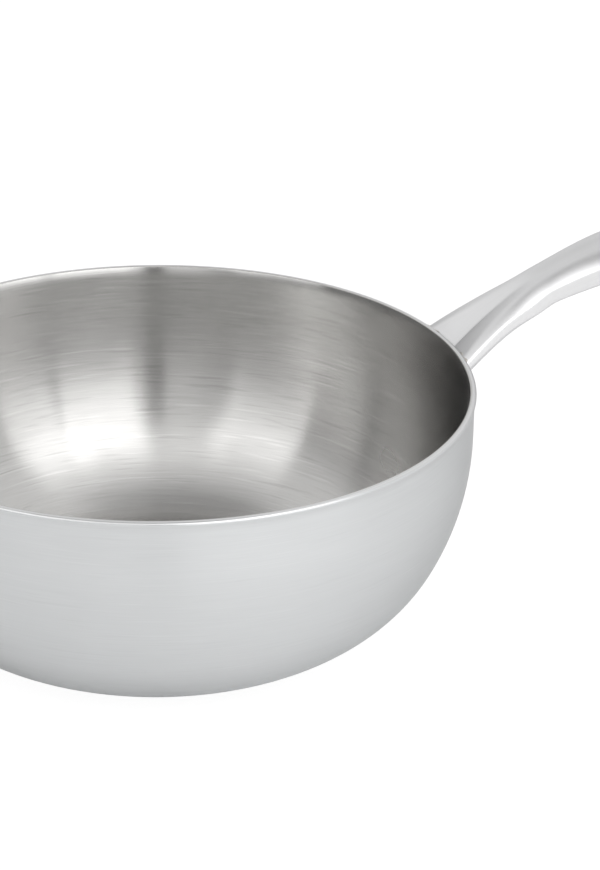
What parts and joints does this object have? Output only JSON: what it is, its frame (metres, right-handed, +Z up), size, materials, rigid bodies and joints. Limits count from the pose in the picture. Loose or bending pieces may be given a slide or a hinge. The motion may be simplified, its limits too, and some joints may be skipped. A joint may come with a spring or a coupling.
{
  "type": "saucier pan",
  "caption": "Deep round-bottomed saucier pan of clad brushed steel with a flared pouring rim and a long hollow welded handle.",
  "frame": {"origin": "centre of the flat base, on the surface that the pan stands on", "axes": "+Z up out of the mouth, +X along the handle away from the bowl, +Y to the left of the handle"},
  "size_m": [0.4363, 0.2446, 0.1572],
  "materials": {
    "outside_steel": "satin, brushed round the bowl",
    "cooking_steel": "brushed round the bowl",
    "handle_steel": "satin, brushed along the handle",
    "weld_steel": "ground and polished weld metal",
    "bond_alloy": "rolled alloy, sealed between other layers",
    "core_aluminium": "rolled pure metal, sealed between other layers"
  },
  "bodies": {
    "root": {"outer_ply": "outside_steel", "lower_bond_ply": "bond_alloy", "core_ply": "core_aluminium", "upper_bond_ply": "bond_alloy", "cooking_ply": "cooking_steel", "handle_upper_shell": "handle_steel", "handle_lower_shell": "handle_steel", "handle_seam_weld": "weld_steel", "handle_foot": "handle_steel", "hang_hole_sleeve": "handle_steel", "root_weld": "weld_steel", "weld_nuggets": "weld_steel"}
  },
  "joints": []
}
